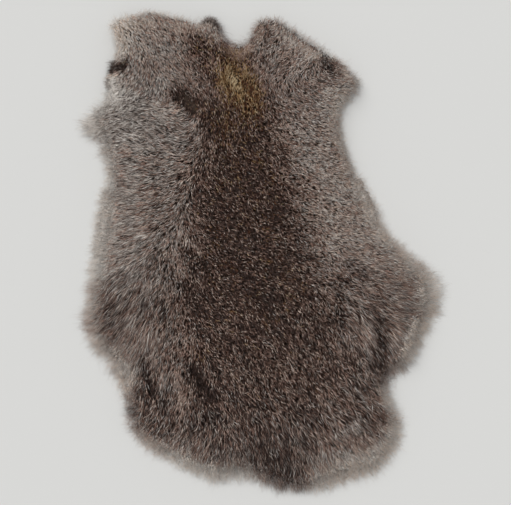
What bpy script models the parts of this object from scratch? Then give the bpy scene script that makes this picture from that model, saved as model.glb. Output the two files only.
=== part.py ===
"""Tanned rabbit skin, laid out flat with its hair side up.

One skin in two layers: the leather, a thin sheet with a cut edge, and the coat,
a lumpy slab of fur that reaches past the leather and ends in a rim of locks.

Metres, +Z up. +Y points at the neck end, +X at the right-hand side of the skin
as it lies. The origin is on the surface it lies on, under the middle of its box.
"""

import math
from collections import namedtuple

import bmesh
import bpy
import numpy as np
from mathutils import Vector, noise

MM = 0.001
NAME = "rabbit_skin"

# Driving sizes of the whole skin, over the hair tips
SKIN_LENGTH = 0.384
SKIN_WIDTH = 0.284
HIDE_THICKNESS = 0.0012
LAYER_GAP = 0.0003

# Heights of the coat above the hide
PILE_HEIGHT = 0.0135
RIM_HEIGHT = 0.0034
LUMP_PITCH = 0.026
LUMP_RISE = 0.0028
FINE_LUMPS = 2.1
FINE_LUMP_SHARE = 0.5

# How the coat rounds off towards its rim: a base and a share of the overhang
ROLL_BASE = 0.007
ROLL_PER_OVERHANG = 1.15

# Locks at the rim
LOCK_SHARE = 0.52
LOCK_BEND = 0.55
LOCK_MID_WIDTH = 0.72
LOCK_MID_HEIGHT = 0.62
LOCK_TIP_HEIGHT = 0.0006
LOCK_UNEVEN = 0.60
LOCK_UNEVEN_PITCH = 0.0043

# Clearances under the skin: the hair past the leather, and the dried leather
# outside the area that lies hard on the surface
HAIR_CLEARANCE = 0.0005
STAND_OFF = 0.0003

# The cut edge runs smoother than the hair tips, most where much hair hangs over
SMOOTH_FROM = 0.006
SMOOTH_FULL = 0.012
SMOOTH_PASSES = 3

# Colours of the two layers, linear red, green and blue
LEATHER_COLOUR = (0.584, 0.462, 0.352)
LEATHER_ROUGHNESS = 0.72
FUR_COLOUR = (0.140, 0.114, 0.094)
FUR_ROUGHNESS = 0.92

# Mesh resolution. Spokes crowd towards the hub, so the rings inside each share
# keep only one spoke in so many.
SPOKES = 184
STEPS_PER_SPAN = 24
THINNED_INSIDE = ((0.84, 2), (0.45, 4))
MERGE_DISTANCE = 0.00005
SHARP_ANGLE = math.radians(40.0)

# Ring codes of the turned disc: 0 is the hub, 1 the cut edge of the hide,
# 2 the root line of the locks, and two rings step the coat down past the edge
HUB = 0.0
EDGE = 1.0
CLEAR = 1.1
FLOOR = 1.2
RIM = 2.0
HIDE_RINGS = (0.30, 0.55, 0.75, 0.90, EDGE)
COAT_STEPS = 19
COAT_RINGS = tuple(step / COAT_STEPS for step in range(1, COAT_STEPS)) + (EDGE, 1.5, RIM)
EDGE_CLEARANCE = 0.0004
STEP_RUN = 0.0012

# Where the spokes meet, in the outline's own millimetres, and the oval that the
# rings even out to as they near it
HUB_X = -10.0
HUB_Y = 20.0
OVAL_HALF_WIDTH = 0.115
OVAL_HALF_LENGTH = 0.165
OVAL_FADE = 1.6

Landmark = namedtuple("Landmark", "place x y overhang tuft lean")
Swell = namedtuple("Swell", "place x y radius rise")
Crease = namedtuple("Crease", "place x1 y1 x2 y2 half_width depth")
Lift = namedtuple("Lift", "place x y radius rise")
Rest = namedtuple("Rest", "place x y")

# Outline over the hair tips, counterclockwise from the neck notch, in millimetres.
# Overhang is how far hair reaches past the leather and tuft how far a lock reaches
# past the outline; lean turns the locks counterclockwise from straight out, in degrees.
OUTLINE = (
    Landmark("neck notch", -19, 165, 5, 0, 0),
    Landmark("notch left wall", -29, 176, 5, 0, 10),
    Landmark("left cheek tuft", -40, 189, 5, 2, 0),
    Landmark("left neck edge", -57, 187, 5, 0, -20),
    Landmark("left neck top", -90, 193, 5, 0, -20),
    Landmark("left corner top", -113, 191, 5, 0, 10),
    Landmark("left corner", -122, 182, 6, 1, 0),
    Landmark("left neck side", -117, 163, 6, 0, 10),
    Landmark("left foreleg top", -124, 147, 6, 0, 0),
    Landmark("left foreleg foot", -124, 133, 6, 2, 20),
    Landmark("left armpit", -129, 120, 10, 2, 0),
    Landmark("left shoulder tuft", -136, 109, 14, 8, 0),
    Landmark("left shoulder low", -132, 94, 12, 3, 10),
    Landmark("left ribs", -124, 70, 10, 0, 15),
    Landmark("left waist", -126, 40, 11, 0, 15),
    Landmark("left belly", -132, 8, 13, 0, 10),
    Landmark("left haunch top", -139, -28, 15, 0, 10),
    Landmark("left haunch", -141, -54, 17, 2, 5),
    Landmark("left haunch low", -132, -77, 15, 0, 0),
    Landmark("left thigh", -114, -100, 13, 0, -10),
    Landmark("left rump", -109, -124, 12, 0, -10),
    Landmark("left rump lobe", -103, -145, 13, 0, 0),
    Landmark("left tail side", -82, -162, 13, 0, 5),
    Landmark("tail left", -44, -181, 14, 0, 10),
    Landmark("tail dip", -10, -180, 14, 0, 20),
    Landmark("tail tip", 29, -193, 15, 2, 20),
    Landmark("tail right", 66, -182, 14, 0, 20),
    Landmark("right tail side", 94, -173, 14, 0, 10),
    Landmark("right rump lobe", 110, -150, 13, 0, 0),
    Landmark("right rump", 110, -126, 11, 0, 0),
    Landmark("rump notch", 101, -100, 9, 0, 0),
    Landmark("right thigh", 123, -89, 12, 0, -15),
    Landmark("right haunch low", 130, -70, 14, 0, -15),
    Landmark("right haunch", 141, -38, 17, 2, -15),
    Landmark("right haunch top", 135, -15, 15, 0, -20),
    Landmark("right belly", 107, 11, 11, 0, -25),
    Landmark("right waist", 86, 44, 9, 0, -25),
    Landmark("right ribs", 72, 76, 8, 0, -25),
    Landmark("right armpit", 63, 105, 7, 0, -20),
    Landmark("right foreleg foot", 67, 119, 7, 0, -20),
    Landmark("right foreleg", 77, 134, 8, 2, -10),
    Landmark("right foreleg top", 68, 150, 6, 0, -10),
    Landmark("right neck edge", 34, 170, 5, 0, -25),
    Landmark("right neck top", 9, 189, 5, 0, -10),
    Landmark("right cheek", -5, 189, 5, 0, 0),
    Landmark("notch right wall", -10, 175, 5, 0, -10),
)

# Broad rises and hollows of the coat, in millimetres
SWELLS = (
    Swell("back", -2, -20, 75, 2.6),
    Swell("rump", -6, -118, 62, 2.4),
    Swell("nape", -18, 148, 26, -2.2),
    Swell("left neck", -88, 165, 30, 1.2),
    Swell("right neck", 28, 140, 30, 1.4),
    Swell("left shoulder roll", -62, 94, 20, 2.8),
    Swell("left flank", -100, 20, 34, 1.0),
    Swell("left haunch", -88, -52, 34, 2.0),
    Swell("left haunch dip", -62, -22, 20, -1.8),
    Swell("right haunch", 108, -44, 32, 1.6),
    Swell("right side", 72, 10, 36, 1.0),
    Swell("left rump roll", -88, -128, 20, 2.0),
)

# Partings and pressed creases where the coat opens, in millimetres
CREASES = (
    Crease("left shoulder hole", -65, 124, -56, 116, 6.5, 7.5),
    Crease("left shoulder crease", -56, 116, -30, 99, 5.0, 4.5),
    Crease("left foreleg gap", -122, 151, -110, 146, 4.0, 6.5),
    Crease("right foreleg dent", 50, 157, 62, 150, 6.0, 5.5),
    Crease("nape parting left", -20, 166, -22, 143, 4.5, 3.2),
    Crease("nape parting right", -6, 158, -8, 136, 4.0, 2.2),
    Crease("rump notch crease", 97, -58, 101, -96, 5.0, 6.0),
    Crease("left rump dent", -102, -94, -98, -109, 5.0, 5.5),
    Crease("left rump crease", -81, -94, -66, -116, 5.0, 4.0),
    Crease("left haunch swirl", -78, 18, -50, -60, 7.0, 2.0),
    Crease("spine parting", 0, 70, 2, -70, 9.0, 1.0),
)

# Places where the dried hide curls off the surface, in millimetres
LIFTS = (
    Lift("left corner curl", -121, 187, 17, 5.0),
    Lift("left foreleg curl", -124, 140, 13, 4.0),
    Lift("right foreleg curl", 76, 134, 15, 4.0),
    Lift("left cheek curl", -40, 190, 10, 2.5),
)

# Places where the cut edge rests on the surface, counterclockwise, in millimetres;
# the leather lies flat between them
RESTS = (
    Rest("left haunch", -125, -40),
    Rest("tail end", 31, -176),
    Rest("right haunch", 125, -31),
    Rest("neck end", 0, 186),
)


def clear_scene():
    """Remove every object, so that the script can run in any file."""
    for item in list(bpy.data.objects):
        bpy.data.objects.remove(item, do_unlink=True)


def spline_point(before, start, end, after, t):
    """Catmull-Rom blend between two rows, with their neighbours as guides."""
    return 0.5 * (
        2.0 * start
        + (end - before) * t
        + (2.0 * before - 5.0 * start + 4.0 * end - after) * t * t
        + (3.0 * (start - end) + after - before) * t * t * t
    )


def smooth_outline(count):
    """Points a fixed distance apart round the outline, with their other columns."""
    rows = np.array([landmark[1:] for landmark in OUTLINE], dtype=float)
    spans = len(rows)
    dense = []
    for span in range(spans):
        guides = [rows[(span + step) % spans] for step in (-1, 0, 1, 2)]
        for step in range(STEPS_PER_SPAN):
            dense.append(spline_point(*guides, step / STEPS_PER_SPAN))
    dense = np.array(dense)

    low = dense[:, :2].min(axis=0)
    high = dense[:, :2].max(axis=0)
    size = np.array((SKIN_WIDTH, SKIN_LENGTH)) / MM
    dense[:, :2] = (dense[:, :2] - (low + high) / 2) * size / (high - low)

    closed = np.vstack((dense, dense[:1]))
    walked = np.concatenate(
        ([0.0], np.cumsum(np.hypot(*np.diff(closed[:, :2], axis=0).T)))
    )
    stops = np.linspace(0.0, walked[-1], count, endpoint=False)
    return np.stack([np.interp(stops, walked, column) for column in closed.T], axis=1)


def distance_to_line(x, y, row):
    """Distance from a point to a crease's centre line, in millimetres."""
    along = Vector((row.x2 - row.x1, row.y2 - row.y1))
    offset = Vector((x - row.x1, y - row.y1))
    share = max(0.0, min(1.0, offset.dot(along) / along.length_squared))
    return (offset - along * share).length


def bell(distance, reach):
    """Smooth bump of height 1 that has died away at twice its reach."""
    return max(0.0, 1.0 - (distance / (2.0 * reach)) ** 2) ** 4


class Plan:
    """Plan of the skin: its spokes, from the hub out to the lock tips."""

    def __init__(self):
        table = smooth_outline(SPOKES)
        self.tips = table[:, :2] * MM
        self.overhang = table[:, 2] * MM
        self.tuft = table[:, 3] * MM
        self.lean = np.radians(table[:, 4])
        self.lock = self.overhang * LOCK_SHARE
        self.outward = self.straight_out()
        self.rim = self.tips - self.outward * self.lock[:, None]
        self.edge = self.smooth_edge()
        self.rests = self.resting_corners()
        self.hub = np.array((HUB_X, HUB_Y)) * MM
        turn = math.tau * np.arange(SPOKES) / SPOKES
        self.oval = np.stack(
            (-OVAL_HALF_WIDTH * np.sin(turn), OVAL_HALF_LENGTH * np.cos(turn)), axis=1
        )

    def straight_out(self):
        """Unit vectors square to the outline, evened between neighbours."""
        ahead = np.roll(self.tips, -1, axis=0) - np.roll(self.tips, 1, axis=0)
        outward = np.stack((ahead[:, 1], -ahead[:, 0]), axis=1)
        for _ in range(SMOOTH_PASSES):
            outward = outward / np.hypot(*outward.T)[:, None]
            between = (np.roll(outward, 1, axis=0) + np.roll(outward, -1, axis=0)) / 2
            outward = (outward + between) / 2
        return outward / np.hypot(*outward.T)[:, None]

    def smooth_edge(self):
        """Cut edge of the leather, inside the hair tips by the overhang."""
        edge = self.tips - self.outward * self.overhang[:, None]
        weight = (self.overhang - SMOOTH_FROM) / (SMOOTH_FULL - SMOOTH_FROM)
        weight = np.clip(weight, 0.0, 1.0)[:, None]
        for _ in range(SMOOTH_PASSES):
            between = (np.roll(edge, 1, axis=0) + np.roll(edge, -1, axis=0)) / 2
            edge = edge + (between - edge) * weight * 0.5
        return edge

    def resting_corners(self):
        """Stations of the cut edge nearest to the places that it rests on."""
        places = [np.array((row.x, row.y)) * MM for row in RESTS]
        return [self.edge[np.argmin(np.hypot(*(self.edge - place).T))] for place in places]

    def lies_flat(self, point):
        """Whether a point is within the area between the resting places."""
        for start, end in zip(self.rests, self.rests[1:] + self.rests[:1]):
            along = end - start
            inside = point - start
            if along[0] * inside[1] - along[1] * inside[0] < -(MERGE_DISTANCE ** 2):
                return False
        return True

    def station(self, ring, spoke):
        """Plan position of a ring on a spoke."""
        if ring <= EDGE:
            evened = (EDGE - ring) ** OVAL_FADE
            drawn = (self.edge[spoke] - self.hub) * (1.0 - evened) + self.oval[spoke] * evened
            return self.hub + drawn * ring
        if ring <= FLOOR:
            run = EDGE_CLEARANCE + STEP_RUN * (ring - CLEAR) / (FLOOR - CLEAR)
            return self.edge[spoke] + self.outward[spoke] * run
        share = (ring - EDGE) / (RIM - EDGE)
        return self.edge[spoke] + (self.rim[spoke] - self.edge[spoke]) * share

    def roll_off(self, point):
        """Share of the full pile height: 0 at the rim, 1 further in."""
        nearest = int(np.argmin(np.hypot(*(self.rim - point).T)))
        start = self.rim[nearest - 1]
        along = self.rim[(nearest + 1) % SPOKES] - start
        inside = point - start
        depth = abs(along[0] * inside[1] - along[1] * inside[0]) / np.hypot(*along)
        reach = ROLL_BASE + ROLL_PER_OVERHANG * self.overhang[nearest]
        share = min(1.0, depth / reach)
        return math.sqrt(1.0 - (1.0 - share) ** 2)


def curl(point):
    """Height that the skin has curled up to off the surface."""
    x, y = point / MM
    return sum(
        row.rise * MM * bell(math.hypot(x - row.x, y - row.y), row.radius) for row in LIFTS
    )


def hide_lift(plan, point):
    """Height of the hide's underside, which stands off outside its flat area."""
    if plan.lies_flat(point):
        return curl(point)
    return curl(point) + STAND_OFF


def hide_height(plan, point):
    """Height of the hide's upper face."""
    return hide_lift(plan, point) + HIDE_THICKNESS


def pile_height(point):
    """Full height of the coat above the hide, with its swells, creases and lumps."""
    x, y = point / MM
    height = PILE_HEIGHT / MM
    for row in SWELLS:
        height += row.rise * bell(math.hypot(x - row.x, y - row.y), row.radius)
    for row in CREASES:
        height -= row.depth * bell(distance_to_line(x, y, row), row.half_width)
    spot = Vector((point[0], point[1], 0.0)) / LUMP_PITCH
    lumps = noise.noise(spot) + FINE_LUMP_SHARE * noise.noise(spot * FINE_LUMPS)
    return height * MM + LUMP_RISE * lumps


def coat_top(plan, point):
    """Height of the coat's upper face."""
    rim = curl(point) + RIM_HEIGHT
    full = hide_height(plan, point) + LAYER_GAP + pile_height(point)
    return rim + (full - rim) * plan.roll_off(point)


def turned_disc(upper_rings, lower_rings):
    """Closed disc turned from a half section; its radii are the ring codes."""
    disc = bmesh.new()
    section = [(HUB, 1.0)] + [(ring, 1.0) for ring in upper_rings]
    section += [(ring, -1.0) for ring in reversed(lower_rings)] + [(HUB, -1.0)]
    corners = [disc.verts.new((radius, 0.0, level)) for radius, level in section]
    edges = [disc.edges.new(pair) for pair in zip(corners, corners[1:])]
    bmesh.ops.spin(
        disc, geom=corners + edges, cent=(0, 0, 0), axis=(0, 0, 1), dvec=(0, 0, 0),
        angle=math.tau, steps=SPOKES, use_merge=True, use_duplicate=False,
    )
    bmesh.ops.remove_doubles(disc, verts=disc.verts[:], dist=MERGE_DISTANCE)
    for share, keep in THINNED_INSIDE:
        thin_spokes(disc, share, keep)
    bmesh.ops.recalc_face_normals(disc, faces=disc.faces[:])
    return disc


def thin_spokes(disc, share, keep):
    """Weld the inner rings' corners onto every so many spokes."""
    places = {}
    for corner in disc.verts:
        ring, spoke = ring_and_spoke(corner)
        if HUB < ring <= share:
            places[(ring, spoke, corner.co.z > 0.0)] = corner
    targets = {
        corner: places[(ring, spoke - spoke % keep, upper)]
        for (ring, spoke, upper), corner in places.items() if spoke % keep
    }
    bmesh.ops.weld_verts(disc, targetmap=targets)


def ring_and_spoke(corner):
    """Ring code and spoke number that a corner of the turned disc stands for."""
    turn = math.atan2(corner.co.y, corner.co.x) / math.tau
    return round(math.hypot(corner.co.x, corner.co.y), 3), round(turn * SPOKES) % SPOKES


def draw_out(disc, plan, upper, lower):
    """Draw a turned disc out to the plan, with a height rule for each face."""
    for corner in disc.verts:
        ring, spoke = ring_and_spoke(corner)
        point = plan.station(ring, spoke)
        rule = upper if corner.co.z > 0.0 else lower
        corner.co = (point[0], point[1], rule(point, ring, spoke))


def build_hide(plan):
    """Leather sheet: the flat skin with its cut edge, curled at a few places."""
    disc = turned_disc(HIDE_RINGS, HIDE_RINGS)
    draw_out(
        disc, plan,
        upper=lambda point, ring, spoke: hide_height(plan, point),
        lower=lambda point, ring, spoke: hide_lift(plan, point),
    )
    return disc


def coat_underside(plan, point, ring, spoke):
    """The coat lies on the hide, then steps down past its edge towards the surface."""
    if ring <= EDGE:
        return hide_height(plan, point) + LAYER_GAP
    if ring <= CLEAR:
        return hide_height(plan, plan.edge[spoke]) + LAYER_GAP
    return curl(point) + HAIR_CLEARANCE


def rim_faces(disc):
    """Faces between the coat's upper and lower rim, one for each lock."""
    return [
        face for face in disc.faces
        if all(ring_and_spoke(corner)[0] == RIM for corner in face.verts)
    ]


def draw_lock(plan, tip):
    """Narrow a lock's middle section and pull its tip out, level on the surface."""
    corners = [edge.other_vert(tip) for edge in tip.link_edges]
    middle = sum((corner.co for corner in corners), Vector()) / len(corners)
    nearest = int(np.argmin(np.hypot(*(plan.rim - np.array(middle[:2])).T)))
    floor = curl(np.array(middle[:2])) + HAIR_CLEARANCE
    angle = plan.lean[nearest]
    outward = Vector((*plan.outward[nearest], 0.0))
    heading = outward.copy()
    heading.x = outward.x * math.cos(angle) - outward.y * math.sin(angle)
    heading.y = outward.x * math.sin(angle) + outward.y * math.cos(angle)
    uneven = 1.0 + LOCK_UNEVEN * noise.noise(middle / LOCK_UNEVEN_PITCH)
    length = plan.lock[nearest] * uneven + plan.tuft[nearest]
    for corner in corners:
        offset = corner.co - middle
        height = (corner.co.z - floor) * LOCK_MID_HEIGHT
        spot = middle + offset * LOCK_MID_WIDTH + outward * length * LOCK_BEND
        corner.co = (spot.x, spot.y, floor + height)
    reach = middle + outward * length * LOCK_BEND + heading * length * (1.0 - LOCK_BEND)
    tip.co = (reach.x, reach.y, floor + LOCK_TIP_HEIGHT)


def build_coat(plan):
    """Fur slab on the hide, with a tapered four-sided lock on each rim face."""
    disc = turned_disc(COAT_RINGS, HIDE_RINGS + (CLEAR, FLOOR, RIM))
    roots = rim_faces(disc)
    draw_out(
        disc, plan,
        upper=lambda point, ring, spoke: coat_top(plan, point),
        lower=lambda point, ring, spoke: coat_underside(plan, point, ring, spoke),
    )
    ends = bmesh.ops.extrude_discrete_faces(disc, faces=roots)["faces"]
    for tip in bmesh.ops.poke(disc, faces=ends)["verts"]:
        draw_lock(plan, tip)
    return disc


def make_material(name, colour, roughness):
    """Principled material with the part's colour and roughness."""
    material = bpy.data.materials.new(name)
    material.use_nodes = True
    shader = material.node_tree.nodes["Principled BSDF"]
    shader.inputs["Base Color"].default_value = (*colour, 1.0)
    shader.inputs["Roughness"].default_value = roughness
    shader.inputs["Metallic"].default_value = 0.0
    return material


def add_part(name, disc, material, collection):
    """Turn a finished bmesh into a named, smooth shaded object."""
    bmesh.ops.triangulate(disc, faces=disc.faces[:])
    mesh = bpy.data.meshes.new(name)
    disc.to_mesh(mesh)
    disc.free()
    mesh.shade_smooth()
    mesh.set_sharp_from_angle(angle=SHARP_ANGLE)
    mesh.materials.append(material)
    part = bpy.data.objects.new(name, mesh)
    collection.objects.link(part)
    return part


def centre_on_origin(parts):
    """Slide the layers together so that their common box stands on the origin."""
    corners = [corner.co for part in parts for corner in part.data.vertices]
    low = Vector([min(corner[k] for corner in corners) for k in range(3)])
    high = Vector([max(corner[k] for corner in corners) for k in range(3)])
    shift = Vector((-(low.x + high.x) / 2, -(low.y + high.y) / 2, -low.z))
    for part in parts:
        for corner in part.data.vertices:
            corner.co += shift


def main():
    """Build the two layers of the skin."""
    clear_scene()
    collection = bpy.data.collections.new(NAME)
    bpy.context.scene.collection.children.link(collection)
    plan = Plan()
    leather = make_material("tanned leather", LEATHER_COLOUR, LEATHER_ROUGHNESS)
    fur = make_material("agouti rabbit fur", FUR_COLOUR, FUR_ROUGHNESS)
    hide = add_part("hide_leather", build_hide(plan), leather, collection)
    coat = add_part("fur_coat", build_coat(plan), fur, collection)
    centre_on_origin((hide, coat))


main()
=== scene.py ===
"""Tanned rabbit skin laid flat, hair side up: leather, underfur and guard hair.

The hair follows the height and outline of the frame's coat. It lies as a table of
strokes combs it, is drawn into small locks, and takes its tones from a table of
sections down the back and a table of markings. Metres, +Z up, +Y at the neck end.
"""

import logging
import math
from collections.abc import Iterable, Sequence
from dataclasses import dataclass, field, fields
from enum import Enum
from typing import NamedTuple, Self

import bmesh
import bpy
import numpy as np
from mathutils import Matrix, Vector, noise
from mathutils.bvhtree import BVHTree
from mathutils.kdtree import KDTree


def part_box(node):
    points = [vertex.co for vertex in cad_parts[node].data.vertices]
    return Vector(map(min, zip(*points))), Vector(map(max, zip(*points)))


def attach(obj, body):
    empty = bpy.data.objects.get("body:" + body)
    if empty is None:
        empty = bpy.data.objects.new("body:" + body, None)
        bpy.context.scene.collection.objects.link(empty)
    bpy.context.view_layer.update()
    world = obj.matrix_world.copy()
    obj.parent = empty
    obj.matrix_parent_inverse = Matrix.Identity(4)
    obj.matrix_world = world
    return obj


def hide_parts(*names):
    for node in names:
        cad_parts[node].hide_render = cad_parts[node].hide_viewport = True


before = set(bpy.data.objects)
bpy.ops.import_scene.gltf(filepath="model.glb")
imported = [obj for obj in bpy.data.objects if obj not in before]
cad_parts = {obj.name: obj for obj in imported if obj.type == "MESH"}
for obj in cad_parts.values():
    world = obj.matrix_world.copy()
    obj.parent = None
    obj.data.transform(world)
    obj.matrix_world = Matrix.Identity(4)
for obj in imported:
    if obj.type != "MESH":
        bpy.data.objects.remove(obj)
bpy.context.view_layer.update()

MM = 0.001
TINY = 1e-6
MERGE = 0.01 * MM
LOG = logging.getLogger("rabbit_skin")
HAIR_MAP = "OFBake"


class Slot(Enum):
    """Material slots of the record."""

    LEATHER = "leather"
    FUR = "fur"


class Layer(Enum):
    """Nodes of the frame."""

    HIDE = "hide_leather"
    COAT = "fur_coat"


class Shade(Enum):
    """Bands across the hair map, from cold to warm: the first share of it and the last."""

    GREY = (0.01, 0.31)
    BROWN = (0.35, 0.65)
    GOLD = (0.69, 0.99)


class Stroke(NamedTuple):
    """One stroke of the comb: its place in millimetres and where the hair tips point."""

    area: str
    x: float
    y: float
    heading: float


class Section(NamedTuple):
    """A level across the skin, in millimetres and tones: 0 is black-brown, 1 silver."""

    place: str
    y: float
    middle: float
    half: float
    back: float
    left: float
    right: float
    rim: float
    warmth: float


class Marking(NamedTuple):
    """A crease, ridge or patch drawn from one place to another, in millimetres."""

    place: str
    x: float
    y: float
    to_x: float
    to_y: float
    reach: float
    tone: float
    warmth: float
    lift: float


class Tuft(NamedTuple):
    """A bunch of longer hair: place, size and length in millimetres, and its way."""

    place: str
    x: float
    y: float
    reach: float
    heading: float
    fan: float
    length: float
    height: float
    count: int
    tone: float
    warmth: float


class Bay(NamedTuple):
    """A bay of the coat's edge, or a swelling where its reach is negative, in mm."""

    place: str
    x: float
    y: float
    to_x: float
    to_y: float
    reach: float


class Lie(NamedTuple):
    """How the hair lies at a place, in millimetres and shares.

    Wave crimps it and rise stands it up. Fade is how wide the soft rim is, or how far
    the hair reaches past an even rim where it is negative. Fringe is how far the fine
    hair turns out over the rim, and part how deeply the coat breaks into locks, which
    it doesn't below 0.
    """

    place: str
    x: float
    y: float
    reach: float
    length: float
    wave: float
    rise: float
    fade: float
    fringe: float
    part: float


@dataclass(frozen=True)
class Ripple:
    """Smooth noise over the plan: its pitch in metres, and its own place in the noise."""

    pitch: float
    seed: float

    def at(self, points: np.ndarray) -> np.ndarray:
        """Values from about -1 to 1 at x and y of points."""
        spots = points / self.pitch
        return np.array([noise.noise((x, y, self.seed)) for x, y in spots])


# Each use of the noise has its own seed
WRINKLES = Ripple(9 * MM, 5.0)
FINE_WRINKLES = Ripple(3 * MM, 6.0)
WOOL = Ripple(3.5 * MM, 21.0)
WAVES = Ripple(13 * MM, 3.0)
CRIMPS = Ripple(4.5 * MM, 8.0)
RIDGES = Ripple(3.6 * MM, 31.0)
PARTINGS = Ripple(11 * MM, 71.0)
WANDER_ALONG = Ripple(24 * MM, 41.0)
WANDER_ACROSS = Ripple(15 * MM, 43.0)
WARM_PATCHES = (Ripple(6 * MM, 59.0), Ripple(14 * MM, 61.0))
RIM_PATCHES = Ripple(17 * MM, 67.0)
MOTTLES = (Ripple(9 * MM, 47.0), Ripple(17 * MM, 55.0), Ripple(36 * MM, 74.0))

# The hair runs down the back, out over the ribs and haunches, and in at the neck;
# headings in degrees counterclockwise from +X
COMBING = tuple(Stroke(*row) for row in (
    ("left neck corner", -110, 178, -35),
    ("left neck edge", -70, 182, -60),
    ("left neck", -80, 160, -45),
    ("left neck, inner side", -45, 175, -75),
    ("left neck foot", -60, 142, -50),
    ("left foreleg", -118, 155, 190),
    ("left foreleg foot", -122, 138, 205),
    ("left armpit", -112, 130, 260),
    ("left shoulder tuft", -135, 112, 185),
    ("left shoulder", -95, 108, 170),
    ("left shoulder, inner side", -60, 102, 140),
    ("left ribs", -105, 70, 180),
    ("left ribs, inner side", -70, 65, 195),
    ("left belly", -120, 20, 185),
    ("left side", -85, 20, 190),
    ("left loin", -80, -25, 240),
    ("parting of the left loin", -64, 0, 300),
    ("nape", -20, 155, 265),
    ("withers", -18, 110, 285),
    ("back", -18, 60, 310),
    ("middle of the back", -15, 0, 325),
    ("loin", -12, -60, 315),
    ("rump", -10, -115, 300),
    ("tail root", -5, -155, 285),
    ("left of the withers", -42, 100, 290),
    ("left of the back", -42, 45, 330),
    ("left of the loin", -42, -30, 320),
    ("right neck edge", 5, 180, 250),
    ("right neck", 30, 158, 215),
    ("right foreleg", 62, 138, 5),
    ("right shoulder", 40, 118, 335),
    ("right of the withers", 12, 80, 320),
    ("right ribs", 45, 75, 340),
    ("right ribs rim", 68, 80, 340),
    ("right of the back", 12, 15, 325),
    ("right side", 50, 15, 335),
    ("right belly", 92, 5, 350),
    ("right flank", 85, -25, 335),
    ("right thigh", 60, -55, 305),
    ("right thigh fold", 92, -68, 290),
    ("right haunch", 132, -22, 5),
    ("middle of the right haunch", 112, -38, 350),
    ("right haunch foot", 130, -58, 340),
    ("right haunch heel", 115, -85, 315),
    ("left haunch", -100, -30, 235),
    ("left haunch rim", -132, -50, 215),
    ("left haunch foot", -125, -78, 230),
    ("left thigh", -85, -70, 255),
    ("left rump", -80, -115, 270),
    ("left rump rim", -105, -135, 215),
    ("left tail side", -75, -155, 240),
    ("tail, left", -35, -168, 255),
    ("tail tip", 25, -178, 285),
    ("inside the right rump", 35, -110, 310),
    ("right rump", 70, -115, 315),
    ("right rump rim", 105, -125, 330),
    ("right tail side", 85, -155, 310),
    ("tail, right", 50, -172, 290),
))

# Dark band of the back with grey sides and a pale rim, from the neck end down
SECTIONS = tuple(Section(*row) for row in (
    ("neck end", 185, -20, 14, 0.20, 0.70, 0.45, 0.10, 0.30),
    ("nape", 145, -20, 15, 0.30, 0.62, 0.57, 0.15, 0.60),
    ("shoulders", 105, -16, 30, 0.04, 0.50, 0.61, 0.10, 0.58),
    ("ribs", 55, -13, 39, -0.03, 0.54, 0.66, 0.20, 0.56),
    ("middle", 0, -8, 46, -0.11, 0.50, 0.60, 0.25, 0.52),
    ("loin", -55, -5, 60, 0.02, 0.42, 0.36, 0.40, 0.50),
    ("rump", -110, 0, 80, 0.10, 0.35, 0.25, 0.35, 0.42),
    ("tail", -170, 10, 50, 0.15, 0.46, 0.42, 0.40, 0.25),
))

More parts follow.
